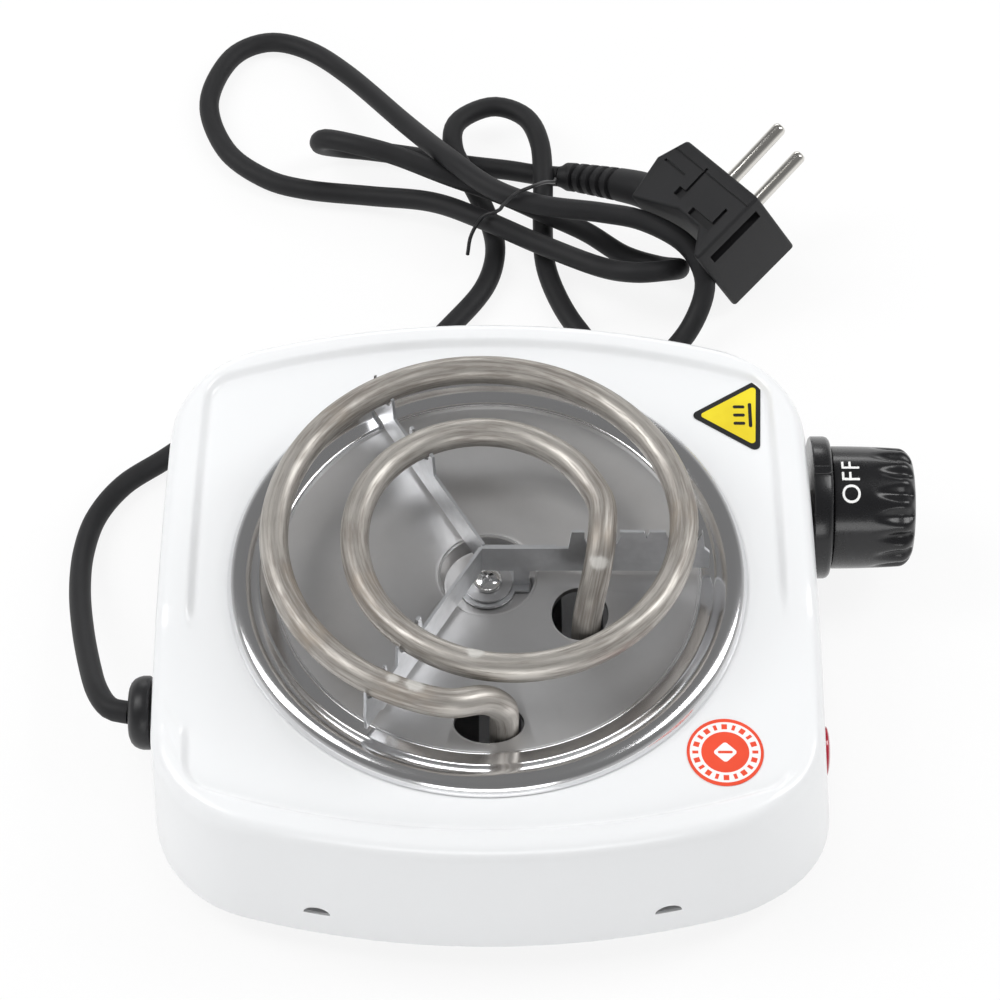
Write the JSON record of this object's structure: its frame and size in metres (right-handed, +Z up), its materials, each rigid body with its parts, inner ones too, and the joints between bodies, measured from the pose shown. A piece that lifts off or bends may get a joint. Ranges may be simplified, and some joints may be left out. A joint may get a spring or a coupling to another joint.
{
  "type": "hot plate burner",
  "caption": "Small electric hot plate: pressed white shell, round drip pan, bare tubular spiral heating coil on a three-arm support, side heat knob, indicator lamp and mains cord with plug.",
  "frame": {"origin": "middle of the footprint of the hot plate without its cord, on the surface that the feet stand on", "axes": "+X towards the knob side, +Y to the rear, +Z up"},
  "size_m": [0.2476, 0.3498, 0.078],
  "materials": {
    "paint": "gloss white enamel on pressed steel",
    "zinc_steel": "zinc plated",
    "chrome_pan": "chrome plated rim, satin floor",
    "tube_steel": "heat-browned sheath",
    "galvanised": "galvanised sheet",
    "ceramic": "unglazed steatite",
    "brass_parts": "plain",
    "knob_black": "gloss",
    "red_lens": "dark red, tinted",
    "lamp_amber": "neon lamp",
    "gland_rubber": "matte",
    "cord_rubber": "matte",
    "plug_black": "moulded, matte",
    "brown_lead": "insulated wire",
    "blue_lead": "insulated wire",
    "green_lead": "insulated wire",
    "white_lead": "glass-braided wire",
    "yellow_label": "printed film",
    "red_label": "printed film",
    "nickel": "nickel plated"
  },
  "bodies": {
    "root": {"bottom_cover": "zinc_steel", "centre_nut": "zinc_steel", "centre_screw": "zinc_steel", "centre_washer": "zinc_steel", "clamp_bridge": "galvanised", "coil_support_main": "galvanised", "coil_support_rear": "galvanised", "cord_gland": "gland_rubber", "core_earth": "green_lead", "core_live": "brown_lead", "core_neutral": "blue_lead", "cover_screw_1": "zinc_steel", "cover_screw_2": "zinc_steel", "drip_pan": "chrome_pan", "earth_screw": "zinc_steel", "earth_tag": "brass_parts", "element_bead_1": "ceramic", "element_bead_2": "ceramic", "element_pin_1": "zinc_steel", "element_pin_2": "zinc_steel", "foot_front_left": "gland_rubber", "foot_front_right": "gland_rubber", "foot_rear_left": "gland_rubber", "foot_rear_right": "gland_rubber", "heating_coil": "tube_steel", "housing": "paint", "knob_collar": "knob_black", "lamp_body": "lamp_amber", "lamp_lens": "red_lens", "lead_live": "brown_lead", "lead_neutral": "brown_lead", "lead_thermostat": "white_lead", "plug_body": "plug_black", "plug_pin_1": "nickel", "plug_pin_2": "nickel", "plug_sleeve": "plug_black", "power_cord": "cord_rubber", "round_label": "red_label", "terminal_block": "ceramic", "terminal_screw_1": "brass_parts", "terminal_screw_2": "brass_parts", "terminal_screw_3": "brass_parts", "terminal_screw_4": "brass_parts", "thermostat_arm": "brass_parts", "thermostat_base": "ceramic", "thermostat_bracket": "galvanised", "thermostat_screw_1": "zinc_steel", "thermostat_screw_2": "zinc_steel", "thermostat_terminal_1": "brass_parts", "thermostat_terminal_2": "brass_parts", "triangle_label": "yellow_label", "twist_tie": "cord_rubber"},
    "knob": {"knob": "knob_black", "thermostat_spindle": "zinc_steel"},
    "push_pin": {"thermostat_pin": "ceramic"}
  },
  "joints": [
    {"name": "knob_turn", "type": "hinge", "parent": "root", "child": "knob", "pos_m": [0.09, 0.0415, 0.03], "axis": [-1, 0, 0], "range_deg": [0, 280]},
    {"name": "thermostat_push", "type": "slide", "parent": "root", "child": "push_pin", "axis": [-1, 0, 0], "range_m": [0, 0.0002]}
  ],
  "couplings": [
    {"joint": "thermostat_push", "follows": "knob_turn", "m_per_rad": 0.00004}
  ]
}
